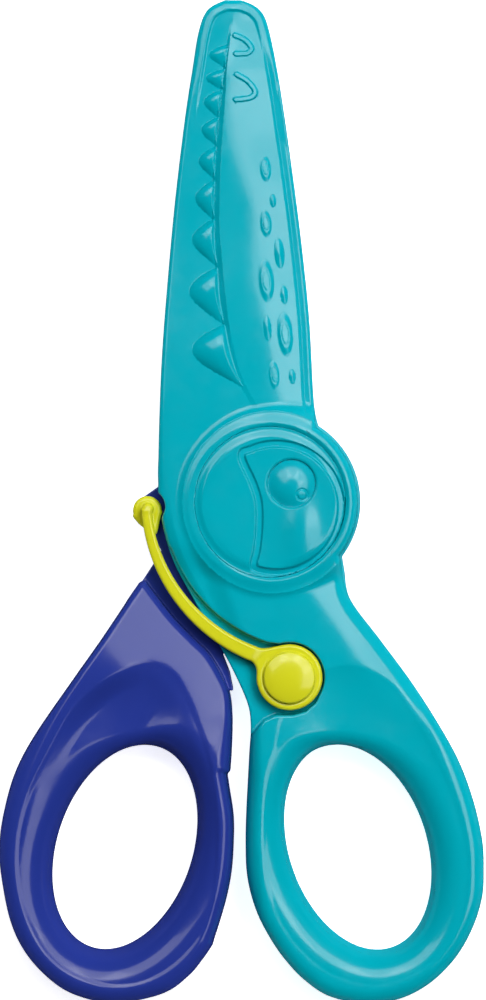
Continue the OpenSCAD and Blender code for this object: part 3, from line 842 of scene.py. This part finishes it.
def plastic(name, colour):
    """Glossy moulded plastic: uneven gloss, faint mottling and a trace of flow waviness."""
    m = Nodes(name, colour, ior=1.46, coat=0.3, coat_roughness=0.07)
    m.roughness(m.spread(m.noise(420, 3), 0.14, 0.21))
    m.blend_colours(m.spread(m.noise(55, 2), 0, 1), shade(colour, 0.97), shade(colour, 1.03))
    m.bump(m.noise(900, 2), 0.000012, 0.5)
    return m.material


STEEL_GREY, STEEL_PALE = (0.6, 0.61, 0.63, 1), (0.7, 0.71, 0.73, 1)


def steel(name, grain):
    """Satin steel with fine grinding lines; grain is the stretch along each axis."""
    m = Nodes(name, STEEL_GREY, metallic=0.75)
    lines = m.noise(1, 4, m.stretched(*grain))
    m.roughness(m.spread(lines, 0.28, 0.42))
    m.blend_colours(m.spread(m.noise(60, 2), 0, 1), STEEL_GREY, STEEL_PALE)
    m.bump(lines, 0.00002, 0.2)
    return m.material


TEAL = plastic("teal_plastic", linear(0, 170, 187))
BLUE = plastic("blue_plastic", linear(38, 56, 147))
YELLOW = plastic("yellow_plastic", linear(214, 214, 34))
BLADE_STEEL = steel("blade_steel", (9000, 500, 500))
FASTENER_STEEL = steel("fastener_steel", (2500, 2500, 2500))


# ---------------------------------------------------------------- pieces
def dress(piece, material, slot):
    """Gives a piece its only material; the slot is not used."""
    piece.data.materials.clear()
    piece.data.materials.append(material)
    return piece


def span(margin, *nodes):
    """Low and high corners in millimetres of the box round CAD nodes, with a margin."""
    lows, highs = zip(*[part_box(node) for node in nodes])
    return ([min(v) / MM - margin for v in zip(*lows)], [max(v) / MM + margin for v in zip(*highs)])


def moulded(name, node, field, step, material, slot, body, margin=0.6, rounds=2, tolerance=0.012):
    """A piece that stands for a CAD node: meshed round the node's box, dressed and put on its body."""
    piece = solid(name, field, *span(margin, node), step, tolerance, rounds)
    dress(piece, material, slot)
    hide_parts(node)
    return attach(piece, body)


moulded("front_lever_moulding", "front_lever", front_lever_field, 0.8, TEAL, "teal_plastic",
        "front_half", rounds=4, tolerance=0.025)
moulded("rear_lever_moulding", "rear_lever", rear_lever_field, 0.7, BLUE, "blue_plastic",
        "rear_half", rounds=4, tolerance=0.02)
moulded("front_cap_moulding", "front_pivot_cap", front_cap_field, 0.25, TEAL, "teal_plastic",
        "front_half")
moulded("spring_button_moulding", "spring_button", button_field, 0.16, YELLOW, "yellow_plastic",
        "front_half")

# One spring mesh stands for two CAD nodes.
spring = dress(solid("spring_moulding", spring_field, *span(0.5, "spring_root", "spring_tip"), 0.18,
                     normals=False), YELLOW, "yellow_plastic")
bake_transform(spring)
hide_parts("spring_root", "spring_tip")

# Middles of the screw holes in the two blades.
FRONT_SCREWS = [(-8.6, 17), (-9, 33)]
REAR_SCREWS = [(-1.6, 18), (-2.2, 34)]
moulded("front_blade_ground", "front_blade",
        blade_field(front_blade_plan, SHEAR_Z + GAP, False, FRONT_SCREWS), 0.3, BLADE_STEEL,
        "blade_steel", "front_half", margin=0.4)
moulded("rear_blade_ground", "rear_blade",
        blade_field(rear_blade_plan, REAR_BLADE_LOW, True, REAR_SCREWS), 0.3, BLADE_STEEL,
        "blade_steel", "rear_half", margin=0.4)

# CAD nodes that keep their own mesh; those that aren't named here are steel fasteners.
CARRIED = {"rear_pivot_cap": (BLUE, "blue_plastic"), "pivot_post": (TEAL, "teal_plastic")}
for name, node in frame["nodes"].items():
    if not node.hide_render:
        dress(node, *CARRIED.get(name, (FASTENER_STEEL, "fastener_steel")))


# ---------------------------------------------------------------- floor, lights and camera
def floor():
    """Plain pale floor just under the scissors; it glows a little and they don't mirror it."""
    size, low = 3.0, min(cad_bounds[0].z, 0) - 0.0001
    mesh = bpy.data.meshes.new("floor")
    mesh.from_pydata([(x * size, y * size, low) for x, y in ((-1, -1), (1, -1), (1, 1), (-1, 1))],
                     [], [(0, 1, 2, 3)])
    plane = bpy.data.objects.new("floor", mesh)
    bpy.context.scene.collection.objects.link(plane)
    m = Nodes("floor_paper", (0.97, 0.97, 0.97, 1))
    m.roughness(m.spread(m.noise(30, 2), 0.85, 0.95))
    m.shader.inputs["Emission Color"].default_value = (1, 1, 1, 1)
    m.shader.inputs["Emission Strength"].default_value = 0.8
    mesh.materials.append(m.material)
    plane.visible_glossy = False


def softbox(name, azimuth, elevation, distance, size, power, shine=True):
    """Square light that faces the pivot; azimuth is from +X towards +Y. Without shine the scissors
    don't mirror it."""
    light = bpy.data.lights.new(name, "AREA")
    light.shape = "SQUARE"
    light.size = size
    light.energy = power
    lamp = bpy.data.objects.new(name, light)
    a, e = math.radians(azimuth), math.radians(elevation)
    lamp.location = Vector((math.cos(a) * math.cos(e), math.sin(a) * math.cos(e), math.sin(e)))
    lamp.location *= distance
    lamp.rotation_euler = (-lamp.location).to_track_quat("-Z", "Y").to_euler()
    lamp.visible_glossy = shine
    bpy.context.scene.collection.objects.link(lamp)


def world(horizon, zenith):
    """Plain surroundings that darken overhead."""
    scene = bpy.context.scene
    scene.world = bpy.data.worlds.new("studio")
    scene.world.use_nodes = True
    tree = scene.world.node_tree
    place = tree.nodes.new("ShaderNodeTexCoord")
    split = tree.nodes.new("ShaderNodeSeparateXYZ")
    fade = tree.nodes.new("ShaderNodeMapRange")
    fade.inputs["From Min"].default_value, fade.inputs["From Max"].default_value = 0.1, 0.75
    fade.inputs["To Min"].default_value, fade.inputs["To Max"].default_value = horizon, zenith
    tree.links.new(place.outputs["Generated"], split.inputs["Vector"])
    tree.links.new(split.outputs["Z"], fade.inputs["Value"])
    tree.links.new(fade.outputs["Result"], tree.nodes["Background"].inputs["Strength"])


def camera():
    """Straight down, filling the frame's height with the scissors."""
    data = bpy.data.cameras.new("camera")
    data.lens, data.sensor_width = 200, 36
    viewer = bpy.data.objects.new("camera", data)
    # The picture's middle, and the height seen at the loops' level.
    middle_x, middle_y, level, seen = -0.003645, 0.00027, 0.006, 0.135
    viewer.location = (middle_x, middle_y, level + seen * data.lens / data.sensor_width)
    bpy.context.scene.collection.objects.link(viewer)
    bpy.context.scene.camera = viewer


KEY_AZIMUTHS = (-5, 41, 86, 128)
# A wide and a small panel at each azimuth give the highlights a bright middle: size and power.
KEY_PANELS = ((0.46, 1.4), (0.24, 0.43))

floor()
for azimuth in KEY_AZIMUTHS:
    for size, power in KEY_PANELS:
        softbox(f"key_{azimuth}_{size}", azimuth, elevation=60, distance=0.9, size=size, power=power)
softbox("side", azimuth=40, elevation=45, distance=1.0, size=0.7, power=1.2, shine=False)
softbox("main", azimuth=55, elevation=55, distance=1.2, size=0.4, power=5.4, shine=False)
world(0.15, 0)
camera()
bpy.context.scene.view_settings.view_transform = "Standard"

bpy.context.view_layer.update()
